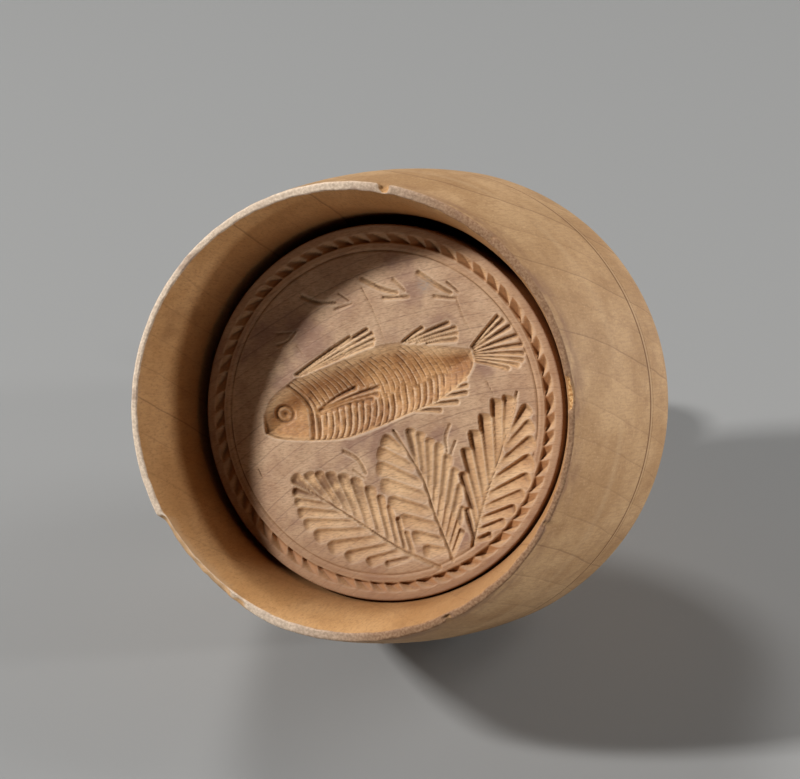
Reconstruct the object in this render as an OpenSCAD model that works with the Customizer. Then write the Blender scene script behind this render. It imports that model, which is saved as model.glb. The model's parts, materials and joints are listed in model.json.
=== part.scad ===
// Butter mould: a turned wooden case, a carved print that slides in it and a
// plunger handle. It lies on its side, on the case's shoulder and the handle's knob.
// Millimetres. Each piece is built on the mould's own axis, with z = 0 at the mouth
// and z growing towards the knob. lay() then rests the mould on the plane z = 0.

/* [Case] */
// Outer radius of the lip at the mouth
mouth_r = 56.5; // [54.5:0.5:59]
// Thickness of the lip
lip_w = 2.6; // [1.8:0.1:4]
// Rounding of the lip's two edges
lip_round = 0.6; // [0.3:0.1:0.8]
// Greatest outer radius, at the belly
belly_r = 62.2; // [60.5:0.1:66]
// Distance from the mouth back to the belly
belly_z = 78; // [66:1:86]
// Radius of the shoulder that closes the case behind the belly
shoulder_arc = 38; // [30:1:44]
// Radius of the bore that the print slides in
bore_r = 49; // [46:0.5:51]
// Distance from the mouth back to the inner end of the bore
bore_depth = 83; // [74:1:90]
// Hollow rounding at the inner end of the bore
bore_corner = 3; // [1:0.5:5]
// Length of the flare inside the mouth
flare_h = 38; // [20:1:60]
// Bevel round both ends of the handle's hole
hole_bevel = 1.2; // [0.5:0.1:2]
// Distance from the mouth back to the first of the two scribed lines
line_z = 61.5; // [50:0.5:66]
// Distance between the two scribed lines
line_gap = 2.4; // [1.5:0.1:5]
// Width of a scribed line, twice its depth
line_w = 0.9; // [0.5:0.1:1.2]

/* [Print] */
// Thickness of the print
print_t = 18; // [15:0.5:24]
// How deep the print's face lies behind the mouth, as stored
print_depth = 26.5; // [15:0.5:40]
// How far the face comes out of the mouth when the knob meets the case
print_proud = 12.5; // [2:0.5:20]
// Rounding of the face's rim
face_round = 0.6; // [0.3:0.1:1]
// Bevel round the print's back, which clears the end of the bore
back_bevel = 4; // [3:0.5:6]

/* [Carving] */
// Width of the plain land round the border
land_w = 2.4; // [1.5:0.1:3]
// Width of the rope border
rope_w = 2.3; // [1.5:0.1:3]
// Width of the plain ring inside the rope
ring_w = 1.9; // [1:0.1:3]
// Width of the scribed lines of the border
border_w = 0.7; // [0.4:0.1:1]
// Length of the fish's body
fish_l = 58; // [50:1:62]
// Height of the fish's body
fish_w = 20; // [16:1:22]
// Radius of the fish's blunt head
fish_head = 8; // [6:0.5:9]
// Depth to which the fish is sunk
fish_d = 2.2; // [1.5:0.1:3]
// Depth to which the leaves are sunk
leaf_d = 1.2; // [0.8:0.1:2]

/* [Plunger handle] */
// Radius of the shaft
shaft_r = 10.2; // [9.2:0.1:12]
// Radius of the screwed end inside the print
tenon_r = 8.4; // [6:0.1:9]
// Length of the screwed end
tenon_l = 13.5; // [8:0.5:14]
// Greatest radius of the knob
knob_r = 20; // [17:0.5:24]
// Rounding of the knob, half its thickness
knob_arc = 13; // [10:0.5:15]

/* [Fits] */
// Radial play of the print in the bore and of the shaft in its hole
play = 1.4; // [0.8:0.1:2]
// Gap left where the loose plunger lies on the case
rest_gap = 0.3; // [0.2:0.05:0.5]
// Radial clearance of the screwed end in the print
screw_fit = 0.08; // [0.05:0.01:0.1]
// Gap between the knob and the case at the end of the push
push_gap = 0.5; // [0.3:0.1:1]

/* [Hidden] */
$fn = 96;

print_r = bore_r - play;
hole_r = shaft_r + play;
drop = play - rest_gap;
case_h = belly_z + shoulder_arc;
shoulder_r = belly_r - shoulder_arc;
flare_r = mouth_r - lip_w;

// An arc that runs along the axis at one end and has strayed by rise at the other
function arc_radius(run, rise) = (run * run + rise * rise) / (2 * rise);
wall_arc = arc_radius(belly_z - lip_round, belly_r - mouth_r);
wall_turn = asin((belly_z - lip_round) / wall_arc);
flare_arc = arc_radius(flare_h - lip_round, flare_r - bore_r);
flare_turn = asin((flare_h - lip_round) / flare_arc);

knob_c = knob_r - knob_arc;
knob_sink = sqrt(pow(knob_arc, 2) - pow(shaft_r - knob_c, 2));
shaft_end = case_h + print_depth + print_proud + push_gap;
knob_z = shaft_end + knob_sink;

// The mould leans back until its shoulder and its knob touch one plane
lean_run = knob_z - belly_z;
lean_drop = shoulder_r - knob_c - drop;
tilt = atan2(lean_drop, lean_run)
    + asin((shoulder_arc - knob_arc) / norm([lean_run, lean_drop]));
axis_h = belly_z * sin(tilt) + shoulder_r * cos(tilt) + shoulder_arc;
front_y = lip_round * (cos(tilt) - 1) - (mouth_r - lip_round) * sin(tilt);
back_y = knob_z * cos(tilt) + (knob_c - drop) * sin(tilt) + knob_arc;

rope_out = print_r - land_w;
rope_in = rope_out - rope_w;
field_r = rope_in - ring_w;

// The carved picture is drawn for a field of this radius and grows with the print
drawn_r = 41;
fish_at = [-3.5, 4.5];
fish_turn = 26;

function arc(centre, radius, from, to, steps) =
    [for (i = [0 : steps])
        let (turn = from + (to - from) * i / steps)
        centre + radius * [cos(turn), sin(turn)]];

case_profile = concat(
    [[hole_r, bore_depth + hole_bevel], [hole_r, case_h - hole_bevel]],
    [[hole_r + hole_bevel, case_h]],
    arc([shoulder_r, belly_z], shoulder_arc, 90, 0, 16),
    arc([belly_r - wall_arc, belly_z], wall_arc, 0, -wall_turn, 8),
    arc([mouth_r - lip_round, lip_round], lip_round, 0, -90, 3),
    arc([flare_r + lip_round, lip_round], lip_round, -90, -180, 3),
    arc([bore_r + flare_arc, flare_h], flare_arc, 180 + flare_turn, 180, 8),
    arc([bore_r - bore_corner, bore_depth - bore_corner], bore_corner, 0, 90, 4),
    [[hole_r + hole_bevel, bore_depth]]
);

// Radius of the case's outside at a place between the mouth and the belly
function wall_r(z) = belly_r - wall_arc + sqrt(pow(wall_arc, 2) - pow(belly_z - z, 2));

module lay() {
    translate([0, -(front_y + back_y) / 2, axis_h])
        rotate([-90 - tilt, 0, 0])
            children();
}

// A V-shaped line turned round the axis
module scribed_line(radius, z, width) {
    rotate_extrude()
        translate([radius, z])
            rotate(45)
                square(width / sqrt(2), center = true);
}

module case() {
    color("burlywood")
        lay()
            difference() {
                rotate_extrude()
                    polygon(case_profile);
                for (z = [line_z, line_z + line_gap])
                    scribed_line(wall_r(z), z, line_w);
            }
}

// The print is built face up, with its face at z = 0 and its picture upright
module on_face() {
    translate([0, drop, print_depth])
        rotate([180, 0, 0])
            children();
}

module print_blank() {
    rotate_extrude()
        polygon(concat(
            [[0, -print_t], [print_r - back_bevel, -print_t]],
            [[print_r, back_bevel - print_t]],
            arc([print_r - face_round, -face_round], face_round, 0, 90, 3),
            [[0, 0]]
        ));
}

// A pointed oval between two arcs, with its length along X
module pointed_oval(length, width) {
    round_r = arc_radius(length / 2, width / 2);
    intersection() {
        translate([0, round_r - width / 2])
            circle(round_r);
        translate([0, width / 2 - round_r])
            circle(round_r);
    }
}

// A pocket of this depth in the face, with its outline placed and turned on the picture
module sunk(place, turn, depth) {
    translate([place.x, place.y, -depth])
        rotate(turn)
            linear_extrude(depth + 1)
                children();
}

module fish() {
    sunk(fish_at, fish_turn, fish_d) {
        pointed_oval(fish_l, fish_w);
        translate([-fish_l / 2 + fish_head, 0])
            circle(fish_head);
    }
}

module leaf(place, turn, length, width) {
    sunk(place, turn, leaf_d)
        pointed_oval(length, width);
}

module picture() {
    scale(field_r / drawn_r) {
        fish();
        leaf([-5, -27], -20, 36, 16);
        leaf([12.3, -18.2], -58, 33, 15);
        leaf([32, -9], -98, 37, 13);
    }
}

module print_disc() {
    color("peru")
        lay()
            on_face()
                difference() {
                    print_blank();
                    for (radius = [rope_out, rope_in, field_r])
                        scribed_line(radius, 0, border_w);
                    picture();
                    translate([0, 0, -print_t])
                        cylinder(r = tenon_r + screw_fit, h = tenon_l + rest_gap);
                }
}

module plunger_handle() {
    color("tan")
        lay()
            translate([0, drop, print_depth + print_t]) {
                rise = knob_z - print_depth - print_t;
                under = -acos((shaft_r - knob_c) / knob_arc);
                rotate_extrude()
                    polygon(concat(
                        [[0, -tenon_l], [tenon_r - 1, -tenon_l]],
                        [[tenon_r, 1 - tenon_l], [tenon_r, 0], [shaft_r, 0]],
                        arc([knob_c, rise], knob_arc, under, 90, 16),
                        [[0, rise + knob_arc]]
                    ));
            }
}

case();
print_disc();
plunger_handle();
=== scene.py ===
"""Looks of an old turned butter mould: a case, a carved print that slides in it and a plunger handle."""

import json
import math

import bmesh
import bpy
import numpy as np
from mathutils import Matrix, Vector


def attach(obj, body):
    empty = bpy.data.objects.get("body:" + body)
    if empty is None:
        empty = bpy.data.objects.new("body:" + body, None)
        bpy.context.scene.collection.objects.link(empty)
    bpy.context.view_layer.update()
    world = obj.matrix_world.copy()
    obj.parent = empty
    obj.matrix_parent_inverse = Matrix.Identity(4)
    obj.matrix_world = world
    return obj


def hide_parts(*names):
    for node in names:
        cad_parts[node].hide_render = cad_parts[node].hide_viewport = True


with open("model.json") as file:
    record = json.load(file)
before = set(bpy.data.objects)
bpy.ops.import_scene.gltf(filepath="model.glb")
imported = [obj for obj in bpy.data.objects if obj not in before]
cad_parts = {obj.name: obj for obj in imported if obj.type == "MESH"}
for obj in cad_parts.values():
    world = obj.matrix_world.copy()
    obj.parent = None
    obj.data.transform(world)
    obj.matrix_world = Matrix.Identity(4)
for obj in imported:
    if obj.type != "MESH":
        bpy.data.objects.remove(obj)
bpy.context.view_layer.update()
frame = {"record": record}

# Sizes are millimetres on the mould's own axis, as in the solids: z is 0 at the mouth and grows
# towards the knob, x runs to the right and y runs down, as seen from the mouth.
MM = 0.001
MOUTH_R, LIP_W, LIP_ROUND = 56.5, 2.6, 0.6
BELLY_R, BELLY_Z, SHOULDER_ARC = 62.2, 78.0, 38.0
BORE_R, BORE_DEPTH, BORE_CORNER, FLARE_H = 49.0, 83.0, 3.0, 38.0
LINE_Z, LINE_GAP, LINE_W = 61.5, 2.4, 0.9
PRINT_T, PRINT_DEPTH, FACE_ROUND, BACK_BEVEL = 18.0, 26.5, 0.6, 4.0
LAND_W, ROPE_W, RING_W = 2.4, 2.3, 1.9
SHAFT_R, TENON_R, TENON_L, KNOB_R, KNOB_ARC = 10.2, 8.4, 13.5, 20.0, 13.0
PLAY, REST_GAP, SCREW_FIT, PUSH_GAP, PRINT_PROUD = 1.4, 0.3, 0.08, 0.5, 12.5
HOLE_BEVEL = 1.2

PRINT_R = BORE_R - PLAY
HOLE_R = SHAFT_R + PLAY
DROP = PLAY - REST_GAP
CASE_H = BELLY_Z + SHOULDER_ARC
FLARE_R = MOUTH_R - LIP_W
KNOB_C = KNOB_R - KNOB_ARC
KNOB_Z = (CASE_H + PRINT_DEPTH + PRINT_PROUD + PUSH_GAP
          + math.sqrt(KNOB_ARC ** 2 - (SHAFT_R - KNOB_C) ** 2))
ROPE_OUT = PRINT_R - LAND_W
ROPE_IN = ROPE_OUT - ROPE_W
FIELD_R = ROPE_IN - RING_W
FISH_TURN = math.radians(26.0)

random = np.random.default_rng(7)


def mould_place():
    """The matrix from the mould's own millimetres to the row frame."""
    mouth = frame["record"]["mounts"][0]
    along = -Vector(mouth["axis"]).normalized()
    right = Vector((1, 0, 0))
    down = along.cross(right)
    turned = Matrix((right, down, along)).transposed().to_4x4()
    turned.translation = Vector((0, *mouth["pos_m"][1:]))
    return turned @ Matrix.Scale(MM, 4)


MOULD = mould_place()
# The print's face has its own frame: x to the right, y up and z out of the mouth
FACE = MOULD @ Matrix.Translation((0, DROP, PRINT_DEPTH)) @ Matrix.Rotation(math.pi, 4, "X")


# Meshes

def arc(centre, radius, start, stop, steps):
    """Points (r, z) on an arc, from one turn to another in degrees."""
    turns = np.radians(np.linspace(start, stop, steps + 1))
    return [(centre[0] + radius * math.cos(t), centre[1] + radius * math.sin(t)) for t in turns]


def arc_radius(run, rise):
    """Radius of an arc that runs along the axis at one end and has strayed by rise at the other."""
    return (run * run + rise * rise) / (2 * rise)


def turned(profile, steps, closed=False):
    """A bmesh spun round the z axis from points (r, z)."""
    bm = bmesh.new()
    ring = [bm.verts.new((r, 0, z)) for r, z in profile]
    edges = [bm.edges.new(pair) for pair in zip(ring, ring[1:])]
    if closed:
        edges.append(bm.edges.new((ring[-1], ring[0])))
    bmesh.ops.spin(bm, geom=ring + edges, cent=(0, 0, 0), axis=(0, 0, 1), dvec=(0, 0, 0),
                   angle=math.tau, steps=steps, use_merge=True, use_duplicate=False)
    bmesh.ops.remove_doubles(bm, verts=bm.verts, dist=1e-4)
    bmesh.ops.recalc_face_normals(bm, faces=bm.faces)
    return bm


def finished(name, bm, place, material, body, node):
    """Makes a piece of a bmesh, puts it in place and lets it stand for a node of the frame."""
    mesh = bpy.data.meshes.new(name)
    bm.to_mesh(mesh)
    bm.free()
    mesh.transform(place)
    mesh.shade_smooth()
    mesh.materials.append(material)
    obj = bpy.data.objects.new(name, mesh)
    bpy.context.scene.collection.objects.link(obj)
    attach(obj, body)
    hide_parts(node)
    return obj


def points_of(bm):
    """The bmesh's vertices as an array, one row each."""
    return np.array([v.co for v in bm.verts])


def move_to(bm, points):
    """Puts the bmesh's vertices at these points."""
    for vert, point in zip(bm.verts, points):
        vert.co = point


def store(bm, name, values):
    """Keeps a number for each vertex under this name, for the material to read."""
    layer = bm.verts.layers.float.new(name)
    for vert, value in zip(bm.verts, values):
        vert[layer] = value


def smooth_step(low, high, value):
    """Goes smoothly from 0 at low to 1 at high."""
    t = np.clip((value - low) / (high - low), 0, 1)
    return t * t * (3 - 2 * t)


def ripple(points, size, waves=14):
    """A smooth random height of about -1 to 1, with hills of this size."""
    total = np.zeros(len(points))
    for _ in range(waves):
        way = random.normal(size=points.shape[1])
        way *= math.tau / (size * np.linalg.norm(way)) * random.uniform(0.6, 1.5)
        total += np.sin(points @ way + random.uniform(0, math.tau))
    return total / math.sqrt(waves)


# The case

CASE_STEPS, WALL_STEPS = 600, 46
# Where the profile has points across a scribed line, as shares of the line's width
ACROSS_LINE = (-0.75, -0.5, -0.25, 0, 0.25, 0.5, 0.75)


def wall_r(z):
    """Radius of the case's outside between the mouth and the belly."""
    radius = arc_radius(BELLY_Z - LIP_ROUND, BELLY_R - MOUTH_R)
    return BELLY_R - radius + np.sqrt(radius ** 2 - (BELLY_Z - z) ** 2)


def outer_wall():
    """Points (r, z) down the outside from the belly to the lip, with the two scribed lines."""
    lines = [LINE_Z, LINE_Z + LINE_GAP]
    plain_steps = np.linspace(1.4, BELLY_Z - 1, WALL_STEPS)
    line_steps = [line + LINE_W * np.array(ACROSS_LINE) for line in lines]
    wall = []
    for z in sorted(np.concatenate([plain_steps, *line_steps]), reverse=True):
        near = min(abs(z - line) for line in lines)
        wall.append((wall_r(z) - max(0, LINE_W / 2 - near), z))
    return wall


def case_profile():
    """Points (r, z) round the case's section: handle's hole, crown, outer wall, lip, flare and bore."""
    flare = arc_radius(FLARE_H - LIP_ROUND, FLARE_R - BORE_R)
    flare_turn = math.degrees(math.asin((FLARE_H - LIP_ROUND) / flare))
    lip_mid = [(MOUTH_R - LIP_ROUND - (LIP_W - 2 * LIP_ROUND) * k / 4, 0) for k in (1, 2, 3)]
    return [
        (HOLE_R, BORE_DEPTH + HOLE_BEVEL), (HOLE_R, (BORE_DEPTH + CASE_H) / 2),
        (HOLE_R, CASE_H - HOLE_BEVEL), (HOLE_R + HOLE_BEVEL, CASE_H),
        *arc((BELLY_R - SHOULDER_ARC, BELLY_Z), SHOULDER_ARC, 90, 0, 22),
        *outer_wall(),
        *arc((MOUTH_R - LIP_ROUND, LIP_ROUND), LIP_ROUND, 0, -90, 4),
        *lip_mid,
        *arc((FLARE_R + LIP_ROUND, LIP_ROUND), LIP_ROUND, -90, -180, 4),
        *arc((BORE_R + flare, FLARE_H), flare, 180 + flare_turn, 180, 16)[1:],
        *[(BORE_R, z) for z in np.linspace(FLARE_H, BORE_DEPTH - BORE_CORNER, 8)[1:-1]],
        *arc((BORE_R - BORE_CORNER, BORE_DEPTH - BORE_CORNER), BORE_CORNER, 0, 90, 5),
        *[(r, BORE_DEPTH) for r in np.linspace(BORE_R - BORE_CORNER, HOLE_R + HOLE_BEVEL, 5)[1:]],
    ]


# Places round the mouth are degrees from the right and downwards, as seen from the mouth.
# The lip is worn off over this stretch, by so much inwards and back. It sets in and ends over these
# shares of the stretch.
WORN_FROM, WORN_TO, WORN_IN, WORN_BACK = 101.0, 144.0, 1.7, 1.6
WORN_SET_IN, WORN_END = 0.55, 0.92
# Chips: place and half length, how far they reach along the lip and back, and 1 on its inside
CHIPS = [(346.0, 4.4, 1.2, 1.3, 1), (270.8, 1.6, 0.88, 1.2, 0), (54.0, 1.2, 0.64, 0.6, 0),
         (302.0, 0.8, 0.32, 0.4, 0), (19.0, 1.0, 0.48, 0.5, 0)]
# The mouth has warped: it is wider from left to right, and its lip is thinner there
WARP_TURN, WARP_OUT, WARP_IN = 5.0, (0.10, 0.42), (0.75, 0.75)
WARP_FADE_IN, WARP_FADE_OUT = 22, 45
# How far behind the mouth the lip's roughness, its wear and its chips have faded to a third
ROUGH_FADE, WORN_FADE, CHIP_FADE = 2.2, 3.2, 1.8
# Size of the rough and fine hills on the lip, and their height outwards and along the axis
ROUGH_SIZE, ROUGH_OUT, ROUGH_BACK = 5.0, 0.07, 0.08
FINE_SIZE, FINE_OUT, FINE_BACK = 1.3, 0.03, 0.06
# How far the lip and the walls stay within the sound shape, and the height of the turning marks
LIP_LESS, LIP_BEHIND, WALL_LESS, TURNING_MARK = 0.05, 0.12, 0.07, 0.02
# How rough the worn stretch and the chips are, along the lip and back, and how much of a chip on the
# outside shows raw wood
WORN_ROUGH, CHIP_ROUGH, OUTER_CHIP_RAW = 0.18, (0.3, 0.35), 0.22


def warped(r, z, turn, outer):
    """The radius after the mouth has warped."""
    is_inside = (r < FLARE_R + 0.7) & (z < BORE_DEPTH)
    sway = np.cos(2 * np.radians(turn - WARP_TURN))
    warp_out, warp_in = (still + swing * sway for still, swing in (WARP_OUT, WARP_IN))
    on_lip = warp_out * outer + warp_in * (1 - outer)
    warp = np.where(z < 2, on_lip, np.where(is_inside, warp_in, warp_out))
    fade = np.exp(-(z / np.where(is_inside, WARP_FADE_IN, WARP_FADE_OUT)) ** 2)
    return r + fade * warp * (r > BORE_R - 0.5)


def behind_mouth(z, fade):
    """Falls from 1 at the mouth to a third at this distance behind it."""
    return np.exp(-np.clip(z, 0, None) / fade)


def worn_case(bm):
    """Moves the turned case's vertices as age has: a warped mouth, a worn lip and chips."""
    points = points_of(bm)
    r = np.hypot(points[:, 0], points[:, 1])
    z = points[:, 2]
    turn = np.degrees(np.arctan2(points[:, 1], points[:, 0])) % 360
    round_way = np.stack([np.cos(np.radians(turn)), np.sin(np.radians(turn))], axis=1)
    outer = smooth_step(FLARE_R + 0.1, MOUTH_R - 0.5, r)
    r = warped(r, z, turn, outer)

    lip = behind_mouth(z, ROUGH_FADE) * (r > FLARE_R - 1.5)
    rough = ripple(np.column_stack([round_way * 60, z * 2]), ROUGH_SIZE)
    fine = ripple(np.column_stack([round_way * 60, r * 1.5, z * 2]), FINE_SIZE)
    r = r + lip * (ROUGH_OUT * rough + FINE_OUT * fine) - lip * LIP_LESS
    z = z + lip * (ROUGH_BACK * rough + FINE_BACK * fine + LIP_BEHIND)

    along = (turn - WORN_FROM) / (WORN_TO - WORN_FROM)
    stretch = smooth_step(0, WORN_SET_IN, along) * (1 - smooth_step(WORN_END, 1.0, along))
    bite = stretch * behind_mouth(z, WORN_FADE) * (1 + WORN_ROUGH * rough)
    r = r - bite * WORN_IN * (0.35 + 0.65 * outer) * (r > FLARE_R - 2)
    z = z + bite * WORN_BACK * outer * (r > FLARE_R - 2)

    torn = np.zeros(len(points))
    for place, half, reach, back, inwards in CHIPS:
        off = (turn - place + 180) % 360 - 180
        side = 1 - outer if inwards else outer
        here = np.clip(1 - (off / half) ** 2, 0, 1) ** 0.6
        here = here * behind_mouth(z, CHIP_FADE) * (r > FLARE_R - 1.5) * (0.25 + 0.75 * side)
        r = r + (1 if inwards else -1) * here * reach * (1 + CHIP_ROUGH[0] * fine)
        z = z + here * back * (1 + CHIP_ROUGH[1] * fine)
        torn = np.maximum(torn, here * (1 if inwards else OUTER_CHIP_RAW))

    marks = TURNING_MARK * (np.sin(z * 2.1) + np.sin(z * 0.9 + 1))
    r = np.where((r > BORE_R - 1) & (z < CASE_H - 2), r - WALL_LESS + marks, r)
    move_to(bm, np.column_stack([round_way * r[:, None], z]))
    store(bm, "torn", np.clip(torn, 0, 1))
    store(bm, "rubbed", np.clip(bite, 0, 1))


def case_mesh():
    """The turned and worn case."""
    bm = turned(case_profile(), CASE_STEPS, closed=True)
    worn_case(bm)
    return bm


# The print: everything carved is a depth below its face, in millimetres, at a place (x, y)

def curve(points, steps=6):
    """A smooth line through these points, as an array."""
    known = np.array([points[0], *points, points[-1]], float)
    line = [known[1]]
    for a, b, c, d in zip(known, known[1:], known[2:], known[3:]):
        for t in np.linspace(0, 1, steps + 1)[1:]:
            line.append(0.5 * (2 * b + (c - a) * t + (2 * a - 5 * b + 4 * c - d) * t ** 2
                               + (3 * b - a - 3 * c + d) * t ** 3))
    return np.array(line)


# Sections of a cut: its depth at a share of the way from its bottom to its edge
SECTIONS = {
    "sharp": lambda out: 1 - out,
    "eased": lambda out: smooth_step(1, 0, out),
    "round": lambda out: 1 - out ** 2,
    "hollow": lambda out: np.sqrt(1 - out ** 2),
}


class Carving:
    """The depth cut into the face at each of its points."""

    def __init__(self, x, y):
        self.x, self.y = x, y
        self.depth = np.zeros(len(x))

    def gouge(self, path, width, depth, section="sharp", lean=0.0, cap=1.0, ease=1.0, onto=False):
        """A cut along a path. width and depth go from their first number at its start to their second at
        its end, and ease bends how depth does. lean makes the cut's left side narrow and steep. Its ends
        reach past the path by cap times the width. onto deepens what is cut already."""
        path = curve(path)
        reach = max(width) * (1 + abs(lean))
        low, high = path.min(axis=0) - reach, path.max(axis=0) + reach
        near = np.flatnonzero((self.x > low[0]) & (self.x < high[0])
                              & (self.y > low[1]) & (self.y < high[1]))
        spot = np.column_stack([self.x[near], self.y[near]])
        best = np.full(len(near), 1e9)
        across, along, ahead = np.zeros(len(near)), np.zeros(len(near)), np.zeros(len(near))
        lengths = np.linalg.norm(np.diff(path, axis=0), axis=1)
        starts = np.concatenate([[0], np.cumsum(lengths)])
        for a, b, length, start in zip(path, path[1:], lengths, starts):
            way = (b - a) / length
            rel = spot - a
            t = np.clip(rel @ way, 0, length)
            past = rel @ way - t
            side = way[0] * rel[:, 1] - way[1] * rel[:, 0]
            gap = np.hypot(past, side)
            share = (start + t) / starts[-1]
            is_end = (share <= 0) | (share >= 1)
            closer = gap < best
            best[closer] = gap[closer]
            across[closer] = np.where(is_end, side, np.copysign(gap, side))[closer]
            ahead[closer] = np.where(is_end, past, 0)[closer]
            along[closer] = share[closer]
        half = width[0] + (width[1] - width[0]) * along
        sides = half * np.where(across > 0, 1 - lean, 1 + lean)
        out = np.clip(np.hypot(across / sides, ahead / (half * cap)), 0, 1)
        cut = SECTIONS[section](out) * (depth[0] + (depth[1] - depth[0]) * along ** ease)
        if onto:
            self.depth[near] += cut
        else:
            self.depth[near] = np.maximum(self.depth[near], cut)

    def inside(self, outline):
        """How far each point lies inside a closed outline, and 0 outside it."""
        closed = np.vstack([outline, outline[:1]])
        best = np.full(len(self.x), 1e9)
        crossed = np.zeros(len(self.x), bool)
        for (ax, ay), (bx, by) in zip(closed, closed[1:]):
            length = math.hypot(bx - ax, by - ay)
            if length < 1e-6:
                continue
            way = ((bx - ax) / length, (by - ay) / length)
            t = np.clip((self.x - ax) * way[0] + (self.y - ay) * way[1], 0, length)
            best = np.minimum(best, np.hypot(self.x - ax - t * way[0], self.y - ay - t * way[1]))
            if ay != by:
                spans = (self.y < ay) != (self.y < by)
                crossed ^= spans & (self.x < ax + (self.y - ay) * (bx - ax) / (by - ay))
        return np.where(crossed, best, 0)


# The rope: its number of chips, their greatest depth, how far each slants, as a share of a chip, and how
# far they run out over the land
ROPE_N, ROPE_D, ROPE_SLANT, ROPE_OVER = 61, 1.95, 0.93, 0.15
# A chip's crest lies at this share of it on the rope's inside, and earlier by the second share on its
# outside. Its height above the bottom is the third share.
CREST_AT, CREST_EARLIER, CREST_HIGH = 0.93, 0.62, 0.12
# Uneven spacing of the chips: how often it swings round the print, how far, as a share of a chip, and
# where it starts. Their depth varies by a share, with a jump in turn from each chip to the next.
ROPE_SWINGS = [(2, 0.35, 1.1), (5, 0.16, 0.4), (13, 0.09, 0.0)]
ROPE_VARY, ROPE_JUMP = 0.12, 12.9898
FACE_LINE_HALF, FACE_LINE_D = 0.35, 0.4


def carve_border(cut):
    """The turned line, and the rope: slanted chips against a turned wall, each with two faces. Returns
    where its steep faces are."""
    r = np.hypot(cut.x, cut.y)
    turn = np.arctan2(cut.y, cut.x)
    line = FACE_LINE_D * np.clip(1 - np.abs(r - FIELD_R) / FACE_LINE_HALF, 0, 1)
    cut.depth = np.maximum(cut.depth, line)
    outer = ROPE_OUT + ROPE_OVER
    share = np.clip((r - ROPE_IN) / (outer - ROPE_IN), 0, 1)
    uneven = sum(far * np.sin(often * turn + start) for often, far, start in ROPE_SWINGS)
    phase = turn / math.tau * ROPE_N + uneven - ROPE_SLANT * share ** 0.85
    q = phase % 1
    crest_at = CREST_AT - CREST_EARLIER * share
    crest = CREST_HIGH * (1 - share)
    rise = np.where(q < crest_at, 1 - (1 - crest) * q / crest_at,
                    crest + (1 - crest) * (q - crest_at) / (1 - crest_at))
    vary = 1 + ROPE_VARY * np.sin(np.floor(phase) * ROPE_JUMP)
    wall = smooth_step(ROPE_IN - 0.05, ROPE_IN + 0.12, r)
    rope = ROPE_D * vary * (1 - share) ** 0.6 * rise * wall
    cut.depth = np.maximum(cut.depth, np.where(r < outer, rope, 0))
    steep_face = np.where((share > 0) & (share < 1) & (q < crest_at), 1.0, 0.0)
    return steep_face * wall


FISH_TOP = [(-31.6, -6.4), (-30.4, -1.6), (-26.6, 2.9), (-22.5, 6.3), (-15.5, 10.2), (-6.0, 15.6),
            (2.5, 18.6), (11.5, 19.4), (20.8, 19.9)]
FISH_BOTTOM = [(21.9, 17.6), (21.8, 14.8), (20.0, 11.4), (14.5, 5.6), (6.6, 0.6), (-1.8, -4.6),
               (-9.0, -8.2), (-17.0, -10.1), (-26.0, -11.3), (-30.3, -10.6)]
# The fish's depth, how far inside its outline it is reached, and the share of it that slopes down
# gently along the back
FISH_DEPTH, FISH_EDGE, BACK_SLOPE = 2.9, 8.0, 0.7
FISH_MID = (-3.5, 4.5)
GILL = [(-25.8, 2.6), (-22.0, 0.2), (-20.2, -2.2), (-18.8, -6.0), (-17.4, -9.6)]
# The eye: a ring with its half width and depth, and a pit in its middle
EYE_AT, EYE_R, EYE_RING_HALF, EYE_RING_D = (-26.5, -4.8), 2.1, 0.65, 0.5
EYE_PIT_R, EYE_PIT_D = 0.9, 0.35

# Each fan of fin rays: the places of the rays' roots and of their tips
FINS = {
    "front_back_fin": ([(-24.4, 5.9), (-24.0, 5.8), (-23.3, 5.9), (-22.3, 6.4), (-20.8, 7.3)],
                       [(-11.6, 17.4), (-7.4, 20.1), (-6.0, 19.3), (-5.3, 18.0), (-5.4, 16.8)]),
    "rear_back_fin": ([(2.6, 18.6), (3.3, 18.7), (4.4, 18.8), (6.3, 19.1), (9.0, 19.4)],
                      [(7.0, 22.9), (13.6, 25.3), (15.6, 24.4), (16.2, 23.2), (16.3, 21.8)]),
    "belly_fin": ([(14.9, 8.9), (12.6, 6.7), (10.9, 4.9), (9.9, 3.4), (8.7, 2.1)],
                  [(20.3, 12.2), (20.9, 10.6), (21.0, 8.8), (19.1, 6.1), (15.0, 3.3)]),
    "tail": ([(20.8, 20.4), (21.0, 20.1), (21.2, 19.8), (21.5, 19.4), (21.7, 19.0), (21.8, 18.6),
              (21.9, 18.1), (22.0, 17.6), (22.1, 17.1)],
             [(26.2, 28.9), (27.6, 28.2), (29.6, 27.0), (31.8, 25.1), (33.4, 23.0), (34.2, 21.0),
              (34.2, 19.3), (33.4, 17.9), (31.0, 16.7)]),
}
# A ray's half width and depth at its root and its tip, its lean and how far its middle bends upwards
FIN_RAY, FIN_LEAN, FIN_BEND = ((0.6, 1.0), (0.8, 0.85)), 0.3, 0.15
BREAST_RAY, BREAST_BEND = ((0.6, 1.1), (0.45, 0.75)), 0.45
BREAST_FIN_MIDDLE = [(-17.6, -2.7), (-10.5, 2.0), (-4.0, 4.4)]
BREAST_FIN = ([(-17.9, -2.3), (-17.8, -2.5), (-17.6, -2.8), (-17.2, -3.2)],
              [(-9.2, 4.9), (-3.1, 6.0), (-3.0, 4.4), (-4.3, 2.7)])


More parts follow.
